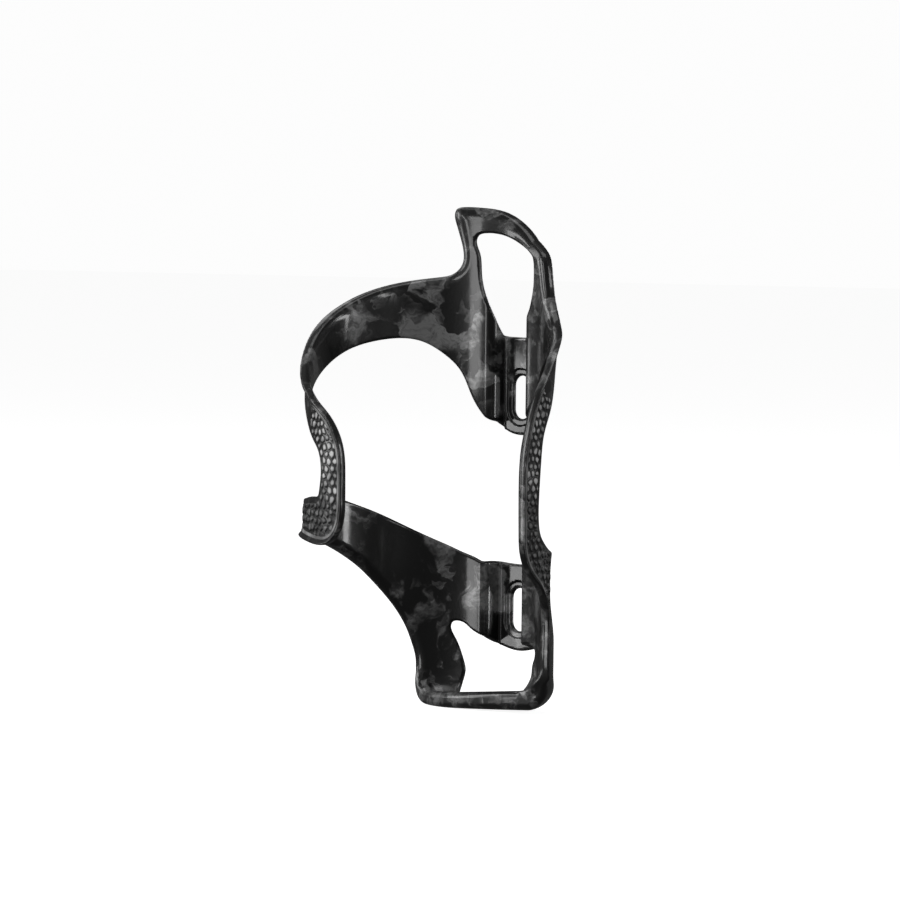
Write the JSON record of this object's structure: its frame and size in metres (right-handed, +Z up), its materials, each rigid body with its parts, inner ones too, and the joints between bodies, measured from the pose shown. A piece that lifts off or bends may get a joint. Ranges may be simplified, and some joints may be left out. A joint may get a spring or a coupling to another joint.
{
  "type": "water bottle cage",
  "caption": "Side-loading bicycle water bottle cage: thin arms wrap a round bottle, with a neck hoop above, a shelf below and slotted plates for the frame bolts.",
  "frame": {"origin": "midway between the two bolt slots, on the back face of the mounting plates", "axes": "+Z up along the bottle, +Y out of the back of the plates towards the bicycle frame, +X to the side the bottle is pulled out of"},
  "size_m": [0.0754, 0.0809, 0.1488],
  "materials": {
    "composite_shell": "clear-coated chopped carbon fibre with a faint grey marbling",
    "grip_texture": "moulded pebble pattern, satin black with paler raised dots"
  },
  "bodies": {
    "root": {"upper_mount_plate": "composite_shell", "lower_mount_plate": "composite_shell", "upper_arm_rear": "composite_shell", "upper_arm_side": "composite_shell", "upper_arm_front": "composite_shell", "front_strut": "composite_shell", "neck_hoop": "composite_shell", "upper_wing": "composite_shell", "side_strut": "composite_shell", "lower_arm_front": "composite_shell", "lower_arm_side": "composite_shell", "lower_arm_rear": "composite_shell", "lower_wing": "composite_shell", "rear_leg": "composite_shell", "side_leg": "composite_shell", "bottom_shelf": "composite_shell", "front_grip_panel": "grip_texture", "side_grip_panel": "grip_texture"}
  },
  "joints": []
}
